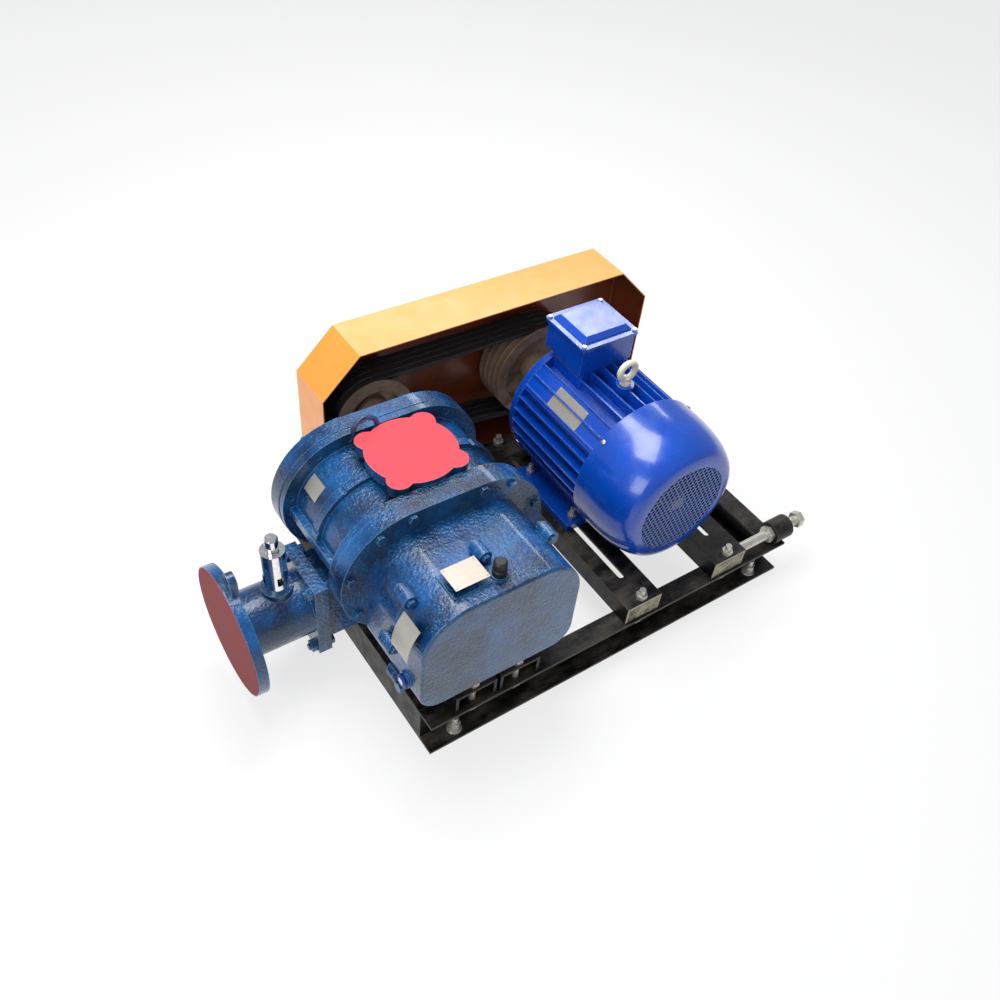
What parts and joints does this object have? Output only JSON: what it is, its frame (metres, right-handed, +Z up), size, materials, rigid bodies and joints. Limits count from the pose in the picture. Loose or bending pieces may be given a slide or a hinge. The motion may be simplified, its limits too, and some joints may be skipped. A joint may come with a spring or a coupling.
{
  "type": "roots vacuum pump",
  "caption": "Roots vacuum pump with three-lobe rotors, driven by a foot-mounted motor through V-belts under a sheet guard, all on a base frame of channel steel.",
  "frame": {"origin": "middle of the base frame's underside, at the centre of the anchor hole pattern", "axes": "+X along the base frame from the pump to the motor, +Y from the pump's gear cover towards the belt drive, along the shafts, +Z up"},
  "size_m": [1.097, 0.603, 0.462],
  "materials": {
    "base_paint": "gloss",
    "pump_paint": "gloss",
    "motor_paint": "gloss",
    "guard_paint": "satin",
    "zinc_fasteners": "zinc plated",
    "machined_steel": "machined",
    "cast_iron": "bare casting",
    "core_steel": "laminated",
    "belt_rubber": "matte",
    "seal_rubber": "matte",
    "breather_plastic": "matte",
    "fan_plastic": "matte",
    "eye_coat": "matte",
    "sight_lens": "clear plug in a painted ring"
  },
  "bodies": {
    "frame": {"front_rail": "base_paint", "rear_rail": "base_paint", "left_rail": "base_paint", "right_rail": "base_paint", "pump_rail_left": "base_paint", "pump_rail_right": "base_paint", "pump_rail_bolts": "zinc_fasteners", "tension_boss": "base_paint", "tension_lock_nut": "zinc_fasteners", "pump_foot_bolts": "zinc_fasteners", "front_end_plate": "pump_paint", "rear_end_plate": "pump_paint", "rotor_casing": "pump_paint", "gear_housing": "pump_paint", "gear_cover": "pump_paint", "bearings": "machined_steel", "shaft_seals": "seal_rubber", "drive_bearing_cover": "pump_paint", "driven_bearing_cover": "pump_paint", "gear_cover_bolts": "pump_paint", "end_plate_bolts": "pump_paint", "breather_plug": "breather_plastic", "sight_glass": "sight_lens", "drain_plug": "pump_paint", "casing_eye_bolt": "pump_paint", "outlet_duct": "pump_paint", "outlet_pipe": "pump_paint", "outlet_joint_bolts": "zinc_fasteners", "valve_body": "pump_paint", "valve_spring": "machined_steel", "belt_guard": "guard_paint", "guard_brackets": "base_paint", "guard_bolts": "zinc_fasteners", "v_belts": "belt_rubber"},
    "drive_rotor": {"drive_shaft": "machined_steel", "drive_impeller": "cast_iron", "drive_gear": "machined_steel", "blower_pulley": "cast_iron"},
    "driven_rotor": {"driven_shaft": "machined_steel", "driven_impeller": "cast_iron", "driven_gear": "machined_steel"},
    "motor_carriage": {"motor_rail_left": "base_paint", "motor_rail_right": "base_paint", "motor_rail_bolts": "zinc_fasteners", "motor_frame": "motor_paint", "drive_end_bell": "motor_paint", "fan_end_bell": "motor_paint", "stator": "core_steel", "fan_cover": "motor_paint", "terminal_box": "motor_paint", "terminal_lid": "motor_paint", "terminal_screws": "zinc_fasteners", "motor_foot_bolts": "zinc_fasteners", "motor_eye_bolt": "eye_coat"},
    "motor_rotor": {"motor_shaft": "machined_steel", "rotor_core": "core_steel", "cooling_fan": "fan_plastic", "motor_pulley": "cast_iron"},
    "tension_screw": {"tension_screw": "zinc_fasteners"},
    "valve_stem": {"valve_disc": "machined_steel"}
  },
  "joints": [
    {"name": "drive_rotor_spin", "type": "hinge", "parent": "frame", "child": "drive_rotor", "pos_m": [-0.228, 0.038, 0.281], "axis": [0, 1, 0], "continuous": true},
    {"name": "driven_rotor_spin", "type": "hinge", "parent": "frame", "child": "driven_rotor", "pos_m": [-0.356, 0.038, 0.281], "axis": [0, 1, 0], "continuous": true},
    {"name": "motor_slide", "type": "slide", "parent": "frame", "child": "motor_carriage", "axis": [1, 0, 0], "range_m": [-0.02, 0.015], "deforming": ["v_belts"]},
    {"name": "motor_rotor_spin", "type": "hinge", "parent": "motor_carriage", "child": "motor_rotor", "pos_m": [0.147, 0, 0.2522], "axis": [0, 1, 0], "continuous": true},
    {"name": "tension_screw_turn", "type": "hinge", "parent": "motor_carriage", "child": "tension_screw", "pos_m": [0.3, -0.231, 0.104], "axis": [1, 0, 0], "range_deg": [-2880, 2160]},
    {"name": "relief_valve_lift", "type": "slide", "parent": "frame", "child": "valve_stem", "axis": [0, 0, 1], "range_m": [0, 0.006], "stiffness_N_per_m": 2000, "springref_m": -0.01, "deforming": ["valve_spring"]}
  ],
  "couplings": [
    {"joint": "driven_rotor_spin", "follows": "drive_rotor_spin", "ratio": -1},
    {"joint": "motor_rotor_spin", "follows": "drive_rotor_spin", "ratio": 0.75},
    {"joint": "tension_screw_turn", "follows": "motor_slide", "rad_per_m": 2513.3}
  ]
}
